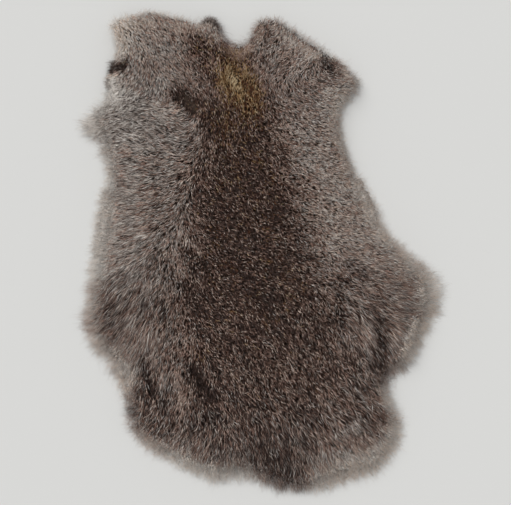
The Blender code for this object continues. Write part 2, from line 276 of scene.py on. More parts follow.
# Tones of patches and streaks are the fur's own. Where a marking sinks the coat at a
# crease, fold, hole, gap, notch, hollow, valley or parting, its darker tone is painted
# shade; the lighter tone of a raised ridge is painted light
MARKINGS = tuple(Marking(*row) for row in (
    ("left corner", -118, 183, -110, 178, 7, 0.55, 0.00, 0.5),
    ("left neck edge", -102, 187, -52, 186, 4, -0.15, 0.10, 0.0),
    ("parting beside the nape", -52, 172, -42, 140, 7, -0.35, 0.20, -1.0),
    ("neck notch", -48, 165, -28, 158, 6, -0.28, 0.20, -0.8),
    ("golden nape", -23, 143, -13, 127, 8.5, 0.34, 0.60, 0.0),
    ("cream streak", -24, 150, -19, 134, 3, 0.35, 0.00, 0.5),
    ("rust streak", -13, 130, -7, 117, 5, -0.12, 0.60, -0.5),
    ("right cheek", -6, 184, 8, 180, 6, -0.15, 0.00, 0.0),
    ("right foreleg fold", 53, 153, 57, 147, 4.5, -0.75, 0.00, -1.0),
    # Painted shadow: the gap under the curled hide at the left foreleg, darkened
    ("left foreleg gap", -124, 149, -112, 150, 4.5, -1.30, 0.00, -2.0),
    ("left foreleg streak", -124, 143, -111, 143, 2.0, 0.45, 0.20, 0.3),
    ("left shoulder hole", -63, 124, -59, 120, 6, -0.80, 0.20, -2.2),
    ("left shoulder crease", -54, 116, -30, 99, 4.5, -0.22, 0.20, -1.2),
    ("left shoulder ridge", -72, 119, -51, 99, 3.5, 0.20, 0.00, 1.4),
    ("valley of the left side", -84, 64, -76, -10, 6, -0.12, 0.00, -1.2),
    ("upper ridge of the left loin", -64, 18, -34, -11, 3, 0.25, 0.05, 1.0),
    ("hollow of the left loin", -58, 3, -41, -13, 3, -0.35, 0.10, -1.5),
    ("middle ridge of the left loin", -77, 8, -61, -16, 3.5, 0.20, 0.05, 1.0),
    ("lower ridge of the left loin", -72, -30, -58, -48, 4, 0.18, 0.05, 0.6),
    ("lower hollow of the left loin", -58, -22, -49, -43, 3.5, -0.20, 0.05, -1.0),
    ("ridge of the left side", -108, 90, -106, 30, 6, -0.08, 0.00, 0.8),
    ("pale right ribs", 45, 95, 58, 10, 13, 0.05, 0.00, 0.4),
    ("dark right loin", 66, -15, 92, -28, 11, -0.19, 0.00, 0.0),
    ("left haunch", -110, -36, -84, -48, 16, -0.24, 0.00, 0.0),
    ("right thigh fold", 95, -56, 99, -96, 4, -0.60, 0.00, -2.0),
    ("right thigh ridge", 86, -50, 90, -92, 5, 0.10, 0.00, 1.0),
    ("left rump fold", -92, -91, -87, -110, 2.6, -1.20, 0.00, -2.5),
    ("above the left rump lobe", -86, -110, -98, -108, 2.5, -0.30, 0.00, -1.2),
    ("left rump crease", -54, -92, -40, -111, 2.6, -1.50, 0.00, -2.8),
    ("below the left rump crease", -38, -116, -36, -130, 3.0, -0.25, 0.00, -1.0),
    ("left rump ridge", -76, -92, -62, -118, 6, 0.20, 0.00, 1.2),
    ("middle of the loin", -4, -14, 6, -52, 10, -0.13, 0.00, 0.0),
    ("right haunch foot", 110, -62, 122, -72, 9, 0.18, 0.00, 0.0),
    ("nape parting", -26, 156, -14, 134, 2.0, -0.50, 0.00, -1.4),
    ("below the shoulder hole", -54, 122, -30, 112, 6, -0.20, 0.10, -0.6),
    ("right armpit", 58, 128, 70, 108, 7, 0.25, 0.00, 0.0),
    ("right of the nape", 6, 154, 10, 122, 7, -0.18, 0.05, 0.0),
    ("right belly rim", 88, 34, 104, 10, 5, 0.15, 0.00, 0.0),
    ("right haunch rim", 142, -16, 130, -76, 8, 0.24, 0.00, 0.0),
    ("left thigh", -114, -78, -104, -98, 7, 0.35, -0.05, 0.0),
    ("above the left rump crease", -70, -56, -58, -66, 8, 0.18, 0.00, 0.3),
    ("left side", -112, 120, -110, -10, 24, 0.03, -0.14, 0.0),
    ("left armpit", -128, 128, -114, 110, 9, 0.05, -0.30, 0.0),
    ("tail", 4, -158, 28, -188, 10, -0.40, 0.00, 0.0),
    ("left shoulder", -110, 112, -78, 96, 15, -0.05, -0.15, 0.0),
    ("left rim of the ribs", -130, 76, -134, -10, 5, 0.20, -0.10, 0.0),
    ("right of the tail", 44, -178, 98, -160, 11, 0.50, 0.00, 0.0),
    ("right rump rim", 108, -114, 112, -146, 8, 0.32, 0.00, 0.0),
    ("pale patch above the lobe", -80, -98, -66, -102, 5, 0.06, -0.05, 0.4),
    ("left of the tail", -14, -182, -66, -172, 9, 0.50, -0.10, 0.0),
    ("left rump lobe rim", -112, -112, -106, -136, 6, -0.35, 0.00, 0.0),
    ("left neck side", -118, 178, -114, 158, 8, 0.40, 0.00, 0.0),
    ("left haunch heel", -128, -46, -120, -58, 8, -0.20, 0.00, 0.0),
    ("inside the left thigh", -88, -62, -66, -88, 12, 0.15, 0.00, 0.4),
    ("left rump lobe", -104, -118, -88, -136, 9, -0.25, 0.00, 0.4),
    ("right loin parting", 62, -20, 64, -46, 4, -0.25, 0.00, -1.0),
    ("below the right foreleg tuft", 54, 136, 60, 130, 5, -0.10, 0.00, -0.5),
    ("left armpit edge", -128, 134, -116, 128, 6, 0.45, -0.10, 0.0),
    ("right haunch heel", 130, -64, 114, -88, 8, 0.14, 0.00, 0.0),
    ("left of the rump fold", -112, -102, -110, -108, 4, 0.45, 0.00, 0.0),
    ("above the right rump", 84, -84, 96, -102, 6, -0.25, 0.00, -0.8),
    ("right tail side", 72, -152, 84, -148, 8, 0.10, 0.00, 0.0),
))

TUFTS = tuple(Tuft(*row) for row in (
    ("neck tuft", -41, 183.5, 2.8, 90, 180, 8, 11, 1500, 0.22, 0.00),
    ("left corner curl", -114, 182, 4, 120, 60, 6, 7, 240, 0.90, 0.05),
    # Dark hair in the left foreleg gap: painted shadow where the hide curls over
    ("left foreleg gap", -112, 149.5, 4.0, 185, 35, 9, 10, 700, -0.20, 0.00),
    ("left foreleg tuft", -118, 138, 3, 215, 90, 7, 7, 420, 0.30, 0.00),
    ("left shoulder wisp", -128, 105, 6, 192, 30, 17, 4, 400, 0.90, 0.00),
    ("left armpit fuzz", -118, 126, 6, 200, 50, 7, 5, 160, 0.80, 0.00),
    ("right foreleg tuft", 55, 149, 3, 60, 180, 4, 10, 420, 0.05, 0.05),
    ("right foreleg end", 68, 137, 5, 5, 40, 9, 6, 260, 0.75, 0.00),
))

LIES = tuple(Lie(*row) for row in (
    ("left neck", -85, 165, 26, 6.5, 0.2, 0.30, -0.8, 0.6, 0.0),
    ("nape", -25, 150, 16, 6.0, 0.5, 0.50, 0.8, 0.4, 0.8),
    ("right neck", 30, 150, 26, 6.2, 0.9, 0.40, -1.0, 0.9, -0.5),
    ("left foreleg", -118, 128, 12, 8.0, 0.4, 0.30, 2.5, 0.5, 0.3),
    ("right foreleg", 70, 136, 10, 8.0, 0.2, 0.30, 2.0, 0.4, 0.2),
    ("left shoulder", -75, 108, 20, 7.5, 0.5, 0.40, 1.5, 0.5, 0.8),
    ("withers", -10, 80, 26, 4.2, 0.9, 0.80, 0.0, 0.5, 0.6),
    ("right ribs", 55, 70, 22, 6.0, 0.8, 0.50, 1.2, 0.5, 0.3),
    ("back", -10, 0, 34, 4.0, 0.9, 0.90, 0.0, 0.5, 0.7),
    ("left flank", -115, 30, 26, 11.0, -0.1, 0.20, 3.8, 0.4, 0.1),
    ("right flank", 95, 0, 22, 8.0, 0.6, 0.40, 2.0, 0.6, 0.3),
    ("left haunch", -125, -55, 20, 16.0, -0.3, 0.20, 5.0, 0.4, 0.3),
    ("right haunch", 122, -45, 24, 19.0, -0.4, 0.10, 6.5, 0.3, 0.0),
    ("lower back", 0, -70, 34, 5.2, 0.8, 0.90, 0.0, 0.5, 1.0),
    ("left rump", -90, -130, 22, 9.0, 0.4, 0.50, 5.0, 0.8, 1.0),
    ("right rump", 90, -130, 22, 11.0, 0.2, 0.40, 5.5, 0.6, 0.5),
    ("tail", 10, -170, 26, 13.0, 0.0, 0.30, 5.5, 0.5, 0.5),
    ("left shoulder rim", -126, 104, 11, 10.0, 0.0, 0.20, 5.0, 0.4, 0.2),
))

BAYS = tuple(Bay(*row) for row in (
    ("beside the neck tuft", -52, 188, -50, 188, 5.5),
    ("left side of the neck", -130, 164, -130, 171, 14.5),
    ("above the left shoulder", -130, 130, -138, 128, 10),
    ("right armpit", 84, 109, 87, 92, 21),
    ("below the right haunch", 113, -106, 119, -118, 14.5),
    ("right neck edge", 9, 186, 65, 149, -3.8),
    ("right haunch heel", 150, -62, 128, -104, 19),
    ("right rump side", 134, -126, 136, -140, 24.5),
    ("below the left shoulder", -146, 90, -141, 66, 12),
    ("left belly", -125, 50, -132, 0, -2.5),
    ("neck notch", -19, 163, -16, 165, -5),
    ("right belly rim", 78, 61, 93, 33, -2),
    ("left haunch rim", -159, -50, -159, -58, 16),
    ("left of the rump fold", -124, -108, -124, -112, 12.5),
    ("tail tip", 6, -202, 50, -201, 16),
    ("left neck edge", -90, 190, -58, 182, -5),
))


def linear(colour: str) -> tuple[float, float, float, float]:
    """Turn an sRGB hex colour to linear.

    Args:
        colour: six hex digits after a hash.

    Returns:
        Linear red, green and blue, and an alpha of 1.
    """
    parts = [int(colour[k:k + 2], 16) / 255 for k in (1, 3, 5)]
    values = [c / 12.92 if c <= 0.04045 else ((c + 0.055) / 1.055) ** 2.4 for c in parts]
    return (*values, 1.0)


def add_node(
    tree: bpy.types.NodeTree,
    kind: str,
    inputs: dict[str | int, object] | None = None,
    stops: Sequence[tuple[float, str]] = (),
    **settings: object,
) -> bpy.types.Node:
    """Add a shader node with its settings and links.

    Args:
        tree: node tree that gets the node.
        kind: type of the node.
        inputs: value, or the output that it is linked to, for each input named.
        stops: places and hex colours of a colour ramp.
        settings: properties of the node.

    Returns:
        The new node.
    """
    made = tree.nodes.new(kind)
    for name, value in settings.items():
        setattr(made, name, value)
    if stops:
        ramp = made.color_ramp.elements
        while len(ramp) < len(stops):
            ramp.new(0.5)
        for element, (place, colour) in zip(ramp, stops):
            element.position = place
            element.color = linear(colour)
    for socket, value in (inputs or {}).items():
        if isinstance(value, bpy.types.NodeSocket):
            tree.links.new(value, made.inputs[socket])
        else:
            made.inputs[socket].default_value = value
    return made


def new_material(name: str) -> tuple[bpy.types.Material, bpy.types.NodeTree]:
    """Make an empty material with its output.

    Args:
        name: name of the material.

    Returns:
        The material and its cleared node tree.
    """
    material = bpy.data.materials.new(name)
    material.use_nodes = True
    material.node_tree.nodes.clear()
    return material, material.node_tree


def add_noise(
    tree: bpy.types.NodeTree, size: float, detail: float, distortion: float = 0.0
) -> bpy.types.NodeSocket:
    """Add noise in the piece's own coordinates.

    Args:
        tree: node tree that gets it.
        size: size of its lumps in millimetres.
        detail: levels of finer noise.
        distortion: how strongly it is bent.

    Returns:
        The output with its values, 0 to 1.
    """
    place = add_node(tree, "ShaderNodeTexCoord").outputs["Object"]
    inputs = {
        "Vector": place, "Scale": 1 / (size * MM), "Detail": detail,
        "Distortion": distortion,
    }
    return add_node(tree, "ShaderNodeTexNoise", inputs).outputs[0]


def add_surface(tree: bpy.types.NodeTree, inputs: dict[str, object]) -> None:
    """End a material with a shader that has these inputs, and its output."""
    shader = add_node(tree, "ShaderNodeBsdfPrincipled", inputs)
    add_node(tree, "ShaderNodeOutputMaterial", {0: shader.outputs[0]})


@dataclass(frozen=True)
class GuardHairFinish:
    """Rabbit guard hair, ticked in bands: fine keratin, soft and hardly glossy."""

    name: str = "rabbit guard hair"
    # Pale band of each hair, across the hair map: grey, brown and gold hair
    pale: tuple[tuple[float, str], ...] = (
        (0.01, "#392923"), (0.16, "#a99c93"), (0.31, "#fbf5ee"),
        (0.35, "#45291e"), (0.50, "#b18f80"), (0.65, "#f6e5d6"),
        (0.69, "#6b3d22"), (0.84, "#b69365"), (0.99, "#ebd7b2"),
    )
    # Root and fine tip of each hair
    dark: tuple[tuple[float, str], ...] = (
        (0.01, "#150c09"), (0.16, "#4f423b"), (0.31, "#ada298"),
        (0.35, "#1c0b07"), (0.50, "#553929"), (0.65, "#a18b7a"),
        (0.69, "#3a1c0c"), (0.84, "#735132"), (0.99, "#a98b63"),
    )
    # Share of the pale band along the hair, from the root to the tip
    band: tuple[tuple[float, str], ...] = (
        (0.00, "#000000"), (0.42, "#303030"), (0.62, "#ffffff"), (0.86, "#ffffff"),
        (1.00, "#404040"),
    )
    roughness: float = 0.62
    specular: float = 0.30
    ior: float = 1.55

    def material(self) -> bpy.types.Material:
        """Colour from the hair map alone: along the hair, and across by its shade."""
        material, tree = new_material(self.name)
        hair = add_node(tree, "ShaderNodeUVMap", uv_map=HAIR_MAP)
        split = add_node(tree, "ShaderNodeSeparateXYZ", {0: hair.outputs[0]})
        along, shade = split.outputs[0], split.outputs[1]
        band = add_node(tree, "ShaderNodeValToRGB", {0: along}, self.band)
        pale = add_node(tree, "ShaderNodeValToRGB", {0: shade}, self.pale)
        dark = add_node(tree, "ShaderNodeValToRGB", {0: shade}, self.dark)
        colour = add_node(
            tree, "ShaderNodeMix",
            {0: band.outputs[0], 6: dark.outputs[0], 7: pale.outputs[0]},
            data_type="RGBA",
        )
        add_surface(tree, {
            "Base Color": colour.outputs[2], "Roughness": self.roughness,
            "IOR": self.ior, "Specular IOR Level": self.specular,
        })
        return material


@dataclass(frozen=True)
class UnderfurFinish:
    """Slate-brown underfur wool: dense, matt and dark between the locks.

    Its dark colour is partly the wool's own and partly painted shade between the locks.
    Curl and bump depth are in millimetres.
    """

    name: str = "rabbit underfur"
    dark: tuple[float, str] = (0.32, "#2a211c")
    pale: tuple[float, str] = (0.68, "#5a4c42")
    curl: float = 1.6
    bump: float = 0.6
    bump_depth: float = 0.6
    roughness: float = 0.9
    specular: float = 0.2

    def material(self) -> bpy.types.Material:
        """Woolly mottling, with a bump as fine as the curl."""
        material, tree = new_material(self.name)
        wool = add_noise(tree, self.curl, detail=3.0)
        colour = add_node(tree, "ShaderNodeValToRGB", {0: wool}, (self.dark, self.pale))
        bump = add_node(
            tree, "ShaderNodeBump",
            {"Height": wool, "Strength": self.bump, "Distance": self.bump_depth * MM},
        )
        add_surface(tree, {
            "Base Color": colour.outputs[0], "Roughness": self.roughness,
            "Specular IOR Level": self.specular, "Normal": bump.outputs[0],
        })
        return material


@dataclass(frozen=True)
class SuedeFinish:
    """Tanned flesh side of the skin: matt cream suede with thin grey-pink veining.

    Cloud, vein pitch, nap and bump depth are in millimetres.
    """

    name: str = "tanned rabbit leather"
    tan: tuple[float, str] = (0.35, "#bfa588")
    cream: tuple[float, str] = (0.62, "#dccbb2")
    vein: str = "#a9897a"
    vein_line: tuple[tuple[float, str], ...] = (
        (0.485, "#000000"), (0.50, "#5a5a5a"), (0.515, "#000000"),
    )
    cloud: float = 38.0
    vein_pitch: float = 22.8
    nap: float = 0.5
    bump: float = 0.35
    bump_depth: float = 0.2
    roughness: float = 0.82
    specular: float = 0.25
    sheen: float = 0.15

    def material(self) -> bpy.types.Material:
        """Clouded tan on cream with veins, and a fine suede nap."""
        material, tree = new_material(self.name)
        cloud = add_noise(tree, self.cloud, detail=4.0)
        skin = add_node(tree, "ShaderNodeValToRGB", {0: cloud}, (self.tan, self.cream))
        ridge = add_noise(tree, self.vein_pitch, detail=2.0, distortion=0.6)
        vein = add_node(tree, "ShaderNodeValToRGB", {0: ridge}, self.vein_line)
        colour = add_node(
            tree, "ShaderNodeMix",
            {0: vein.outputs[0], 6: skin.outputs[0], 7: linear(self.vein)},
            data_type="RGBA",
        )
        nap = add_noise(tree, self.nap, detail=2.0)
        bump = add_node(
            tree, "ShaderNodeBump",
            {"Height": nap, "Strength": self.bump, "Distance": self.bump_depth * MM},
        )
        add_surface(tree, {
            "Base Color": colour.outputs[2], "Roughness": self.roughness,
            "Specular IOR Level": self.specular, "Sheen Weight": self.sheen,
            "Normal": bump.outputs[0],
        })
        return material


@dataclass(frozen=True)
class FloorFinish:
    """Plain pale studio floor, matt paint."""

    name: str = "pale matt floor"
    colour: str = "#dcdcda"
    roughness: float = 0.9
    specular: float = 0.1

    def material(self) -> bpy.types.Material:
        """One even matt colour."""
        material, tree = new_material(self.name)
        add_surface(tree, {
            "Base Color": linear(self.colour), "Roughness": self.roughness,
            "Specular IOR Level": self.specular,
        })
        return material


def merged_copy(node: Layer) -> bmesh.types.BMesh:
    """Copy a node of the frame and merge its loose triangles.

    Args:
        node: which layer.

    Returns:
        A closed bmesh of the layer, in the frame's own place.
    """
    copy = bmesh.new()
    copy.from_mesh(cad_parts[node.value].data)
    bmesh.ops.remove_doubles(copy, verts=copy.verts[:], dist=MERGE)
    return copy


def finished_mesh(name: str, form: bmesh.types.BMesh) -> bpy.types.Mesh:
    """Turn a bmesh into a smooth mesh and free it.

    Args:
        name: name of the mesh.
        form: the bmesh.

    Returns:
        The mesh.
    """
    mesh = bpy.data.meshes.new(name)
    form.to_mesh(mesh)
    form.free()
    mesh.shade_smooth()
    return mesh


def place_piece(
    name: str, mesh: bpy.types.Mesh, material: bpy.types.Material, layer: Layer
) -> bpy.types.Object:
    """Hang a finished mesh in the scene as a piece of the skin.

    Args:
        name: name of the piece.
        mesh: its mesh, in the frame's own place.
        material: its finish.
        layer: the node that it stands for.

    Returns:
        The new object.
    """
    mesh.materials.clear()
    mesh.materials.append(material)
    piece = bpy.data.objects.new(name, mesh)
    bpy.context.scene.collection.objects.link(piece)
    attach(piece, "root")
    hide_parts(layer.value)
    LOG.info("%s: %d faces", name, len(mesh.polygons))
    return piece


def smooth_share(value: np.ndarray, start: float, end: float) -> np.ndarray:
    """Ease from 0 at start to 1 at end.

    Args:
        value: numbers to ease.
        start: value that gives 0.
        end: value that gives 1.

    Returns:
        Shares from 0 to 1.
    """
    share = np.clip((value - start) / (end - start), 0.0, 1.0)
    return share * share * (3.0 - 2.0 * share)


def stroke_gap(points: np.ndarray, row: Marking | Bay) -> np.ndarray:
    """Distance from points to the straight stroke of a table's row.

    Args:
        points: x and y of each point.
        row: the row, which says where the stroke starts and ends.

    Returns:
        A distance for each point.
    """
    start = np.array((row.x * MM, row.y * MM))
    line = np.array((row.to_x * MM, row.to_y * MM)) - start
    share = np.clip((points - start) @ line / (line @ line), 0, 1)
    return np.hypot(*(points - start - share[:, None] * line).T)


def plan(corners: Iterable[bmesh.types.BMVert]) -> np.ndarray:
    """x and y of each corner."""
    return np.array([corner.co for corner in corners])[:, :2]


def square_gaps(points: np.ndarray, rows: Sequence[Stroke | Lie]) -> np.ndarray:
    """Squared distances from each point to the place of each row of a table."""
    places = np.array([(row.x, row.y) for row in rows], dtype=float) * MM
    return ((points[:, None] - places[None]) ** 2).sum(axis=2)


def unit(ways: np.ndarray) -> np.ndarray:
    """Each vector of the plan at a length of 1."""
    return ways / np.maximum(np.hypot(*ways.T), TINY)[:, None]


@dataclass
class CoatForm:
    """Height of the coat and the depth inside its outline, read off the frame.

    Its nets lie over the coat and a margin round it, and are read up to just short of
    their last row.
    """

    pitch: float = 1.5 * MM
    margin: float = 24 * MM
    ray_height: float = 100 * MM
    short_of_end: float = 0.001
    low: np.ndarray = field(init=False)
    heights: np.ndarray = field(init=False)
    skins: np.ndarray = field(init=False)
    depths: np.ndarray = field(init=False)
    slopes: np.ndarray = field(init=False)

    def __post_init__(self) -> None:
        """Measure the coat on a fine net of points."""
        low, high = (np.array(corner)[:2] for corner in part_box(Layer.COAT.value))
        self.low = low - self.margin
        counts = np.ceil((high - low + 2 * self.margin) / self.pitch).astype(int)
        self.heights = self.measure_top(Layer.COAT, counts)
        self.skins = self.measure_top(Layer.HIDE, counts)
        self.depths = self.measure_depths()
        self.slopes = np.stack(np.gradient(self.depths, self.pitch), axis=-1)

    def measure_top(self, layer: Layer, counts: np.ndarray) -> np.ndarray:
        """Height of a layer's upper side at each point of the net.

        Args:
            layer: which layer.
            counts: points of the net along x and y.

        Returns:
            Heights, 0 where the layer isn't.
        """
        form = merged_copy(layer)
        tree = BVHTree.FromBMesh(form)
        form.free()
        heights = np.zeros(counts)
        down = Vector((0, 0, -1))
        for i, j in np.ndindex(*counts):
            x, y = self.low + np.array((i, j)) * self.pitch
            hit = tree.ray_cast(Vector((x, y, self.ray_height)), down)[0]
            if hit is not None:
                heights[i, j] = hit.z
        return heights

    def measure_depths(self) -> np.ndarray:
        """Distance inside the outline at each point of the net, negative outside it."""
        inside = self.heights > 0
        edge = inside & ~(
            np.roll(inside, 1, 0) & np.roll(inside, -1, 0)
            & np.roll(inside, 1, 1) & np.roll(inside, -1, 1)
        )
        rim = KDTree(int(edge.sum()))
        for index, (i, j) in enumerate(np.argwhere(edge)):
            rim.insert((i * self.pitch, j * self.pitch, 0), index)
        rim.balance()
        depths = np.zeros_like(self.heights)
        for i, j in np.ndindex(*depths.shape):
            depths[i, j] = rim.find((i * self.pitch, j * self.pitch, 0))[2]
        depths = np.where(inside, depths, -depths)
        spots = self.low + np.stack(np.indices(depths.shape), axis=-1) * self.pitch
        for bay in BAYS:
            away = stroke_gap(spots.reshape(-1, 2), bay).reshape(depths.shape)
            if bay.reach > 0:
                depths = np.minimum(depths, away - bay.reach * MM)
            else:
                depths = np.maximum(depths, -bay.reach * MM - away)
        return depths

    def sample(self, net: np.ndarray, points: np.ndarray) -> np.ndarray:
        """Blend a net's values at points of the plan.

        Args:
            net: one of this form's nets.
            points: x and y of each point.

        Returns:
            A value, or a row of values, for each point.
        """
        last = np.array(net.shape[:2]) - 1 - self.short_of_end
        spot = np.clip((points - self.low) / self.pitch, 0, last)
        cell = spot.astype(int)
        share = spot - cell
        i, j = cell.T
        a, b = share.T
        if net.ndim == 3:
            a, b = a[:, None], b[:, None]
        lower = net[i, j] * (1 - a) + net[i + 1, j] * a
        upper = net[i, j + 1] * (1 - a) + net[i + 1, j + 1] * a
        return lower * (1 - b) + upper * b

    def height(self, points: np.ndarray) -> np.ndarray:
        """Height of the coat at each point."""
        return self.sample(self.heights, points)

    def above_skin(
        self, points: np.ndarray, height: np.ndarray | float, gap: float
    ) -> np.ndarray:
        """Heights, raised where they are less than a gap above the leather's hair side."""
        return np.maximum(height, self.sample(self.skins, points) + gap)

    def depth(self, points: np.ndarray) -> np.ndarray:
        """Distance inside the outline at each point."""
        return self.sample(self.depths, points)

    def outward(self, points: np.ndarray) -> np.ndarray:
        """Unit vectors that point out over the nearest rim."""
        return unit(-self.sample(self.slopes, points))


@dataclass
class Combing:
    """Way the hair lies all over the skin, from the strokes of the comb.

    At the rim, hair that already leans out turns further out.
    """

    form: CoatForm
    reach: float = 17 * MM
    far_weight: float = 1e-12
    rim_reach: float = 11 * MM
    rim_turn: float = 0.6
    leaning: tuple[float, float] = (-0.1, 0.5)

    def ways(self, points: np.ndarray) -> np.ndarray:
        """Unit vectors that the hair tips point along.

        Args:
            points: x and y of each point.

        Returns:
            A unit vector for each point.
        """
        turn = np.radians([stroke.heading for stroke in COMBING])
        way = np.stack((np.cos(turn), np.sin(turn)), axis=1)
        gap = square_gaps(points, COMBING)
        weight = np.exp(-gap / (2 * self.reach ** 2)) + self.far_weight / gap
        combed = unit(weight @ way)
        outward = self.form.outward(points)
        facing = smooth_share((combed * outward).sum(axis=1), *self.leaning)
        share = facing * (1 - smooth_share(self.form.depth(points), 0, self.rim_reach))
        share = (self.rim_turn * share)[:, None]
        return unit(combed * (1 - share) + outward * share)


def blend_lies(points: np.ndarray, far_weight: float = 1e-9) -> np.ndarray:
    """Blend how the hair lies over the plan.

    Args:
        points: x and y of each point.
        far_weight: how much the places far away still count.

    Returns:
        A row of length, wave, rise, fade, fringe and part for each point.
    """
    reach = np.array([row.reach for row in LIES], dtype=float) * MM
    names = ("length", "wave", "rise", "fade", "fringe", "part")
    values = np.array([[getattr(row, name) for name in names] for row in LIES])
    gap = square_gaps(points, LIES)
    weight = np.exp(-gap / (2 * reach ** 2)) + far_weight * reach ** 2 / (gap + far_weight)
    return (weight @ values) / weight.sum(axis=1)[:, None]


@dataclass(frozen=True)
class Fading:
    """Strength of an effect, which falls as the hair gets paler, within its bounds."""

    dark: float
    fall: float
    least: float = -math.inf
    most: float = math.inf

    def at(self, tone: np.ndarray) -> np.ndarray:
        """Strength at each tone."""
        return np.clip(self.dark - self.fall * tone, self.least, self.most)


@dataclass
class Colouring:
    """Tone, warmth and lift of the coat from its sections, markings and rim.

    The flank begins and ends at shares of the dark band's half width. The rim's tone
    goes from patch to patch by a middle and a spread. A marking that sinks the coat
    trims its hair.
    """

    form: CoatForm
    flank: tuple[float, float] = (0.45, 1.45)
    flank_warmth: float = 0.26
    rim_reach: float = 12 * MM
    rim_patchy: tuple[float, float] = (0.85, 0.60)
    mottle: float = 0.10
    mottle_fading: Fading = Fading(2.0, 1.8)
    patchy: float = 0.15
    trim: float = 0.28
    most_trim: float = 0.7
    wander: float = 5 * MM

    def read(self, points: np.ndarray) -> tuple[np.ndarray, ...]:
        """Read the coat's colouring at points of the plan.

        Args:
            points: x and y of each point.

        Returns:
            Tone, warmth, lift in metres and trimmed share of the length for each point.
        """
        rows = sorted(SECTIONS, key=lambda row: row.y)
        levels = np.array([row.y for row in rows]) * MM
        names = ("middle", "half", "back", "left", "right", "rim", "warmth")
        level = points[:, 1] + self.wander * WANDER_ALONG.at(points)
        middle, half, back, left, right, rim, warmth = (
            np.interp(level, levels, [getattr(row, name) for row in rows]) for name in names
        )
        across = points[:, 0] - middle * MM + self.wander * WANDER_ACROSS.at(points)
        flank = smooth_share(np.abs(across) / (half * MM), *self.flank)
        tone = back + (np.where(across < 0, left, right) - back) * flank
        warmth = warmth + (self.flank_warmth - warmth) * flank
        warmth += self.patchy * sum(patches.at(points) for patches in WARM_PATCHES)
        base, spread = self.rim_patchy
        rim = rim * (base + spread * RIM_PATCHES.at(points))
        tone += rim * (1 - smooth_share(self.form.depth(points), 0, self.rim_reach))
        mottle = sum(mottles.at(points) for mottles in MOTTLES)
        tone += self.mottle * self.mottle_fading.at(tone) * mottle
        lift = np.zeros(len(points))
        trim = np.zeros(len(points))
        for mark in MARKINGS:
            gap = stroke_gap(points, mark) / (mark.reach * MM)
            share = np.exp(-gap ** 2 / 2)
            # Darker tones at creases, folds, holes, gaps and partings are painted shade,
            # lighter tones at ridges painted light; other markings give the fur's own tone
            tone += mark.tone * share
            warmth = warmth + mark.warmth * share
            lift += mark.lift * MM * share
            trim = np.maximum(trim, self.trim * max(-mark.lift, 0) * share)
        return tone, np.clip(warmth, 0, 1), lift, np.minimum(trim, self.most_trim)


@dataclass(frozen=True)
class HairKind:
    """Sizes of one kind of hair: lengths in metres, turns in degrees.

    Outward is how far it turns out over the rim. Fade is the span, in shares of the
    soft rim's width, that its tips end in. The map's start keeps rim hair out of the
    dark root of the hair map.
    """

    name: str
    seed: int
    clump_pitch: float
    per_clump: int
    spread: float
    gather: float
    width: float
    root_depth: float
    length_share: float
    length_uneven: float
    turn: float
    rise: tuple[float, float]
    inset: float
    reach_out: float
    tone_shift: float
    tone_clump: float
    tone_hair: float
    outward: float = 0.0
    fade: tuple[float, float] = (-1.2, 0.5)
    map_start: float = 0.005


# The undercoat's tone is shifted darker: partly its own darker colour, and partly painted
# shade deep in the coat between the guard hairs
UNDERCOAT = HairKind(
    name="undercoat", seed=3, clump_pitch=2.6 * MM, per_clump=4, spread=1.1 * MM,
    gather=0.35, width=0.90 * MM, root_depth=6.0 * MM, length_share=0.85, length_uneven=0.2,
    turn=16.0, rise=(-2.2 * MM, -0.8 * MM), inset=0.8 * MM, reach_out=0.5 * MM,
    tone_shift=-0.24, tone_clump=0.05, tone_hair=0.04, fade=(-2.0, -0.4),
)

GUARD_HAIR = HairKind(
    name="guard hair", seed=7, clump_pitch=2.1 * MM, per_clump=4, spread=0.85 * MM,
    gather=0.20, width=0.38 * MM, root_depth=6.0 * MM, length_share=0.9, length_uneven=0.25,
    turn=24.0, rise=(-0.6 * MM, 1.2 * MM), inset=0.0 * MM, reach_out=1.5 * MM,
    tone_shift=0.14, tone_clump=0.08, tone_hair=0.25,
)

FINE_RIM_HAIR = HairKind(
    name="fine rim hair", seed=19, clump_pitch=1.4 * MM, per_clump=3, spread=1.2 * MM,
    gather=0.1, width=0.20 * MM, root_depth=3.0 * MM, length_share=1.1, length_uneven=0.40,
    turn=24.0, rise=(-0.4 * MM, 1.6 * MM), inset=0.3 * MM, reach_out=5.5 * MM,
    tone_shift=0.20, tone_clump=0.08, tone_hair=0.14, outward=1.2, fade=(-0.3, 0.9),
    map_start=0.45,
)

WHISKER = HairKind(
    name="whisker", seed=29, clump_pitch=4.0 * MM, per_clump=3, spread=1.5 * MM,
    gather=0.0, width=0.20 * MM, root_depth=3.0 * MM, length_share=1.5, length_uneven=0.35,
    turn=18.0, rise=(-0.4 * MM, 2.4 * MM), inset=1.0 * MM, reach_out=8.0 * MM,
    tone_shift=0.10, tone_clump=0.25, tone_hair=0.20, outward=0.8, fade=(0.0, 0.9),
    map_start=0.45,
)


@dataclass
class Lot:
    """Arrays that have a row for each item."""

    def chosen(self, pick: np.ndarray) -> Self:
        """The items that a mask or an array of their numbers picks."""
        return type(self)(*(getattr(self, column.name)[pick] for column in fields(self)))


@dataclass
class Clumps(Lot):
    """Small locks of the coat: middles and ways on the plan, sizes and tones."""

    centre: np.ndarray
    way: np.ndarray
    length: np.ndarray
    wave: np.ndarray
    rise: np.ndarray
    fade: np.ndarray
    lift: np.ndarray
    tone: np.ndarray
    warmth: np.ndarray


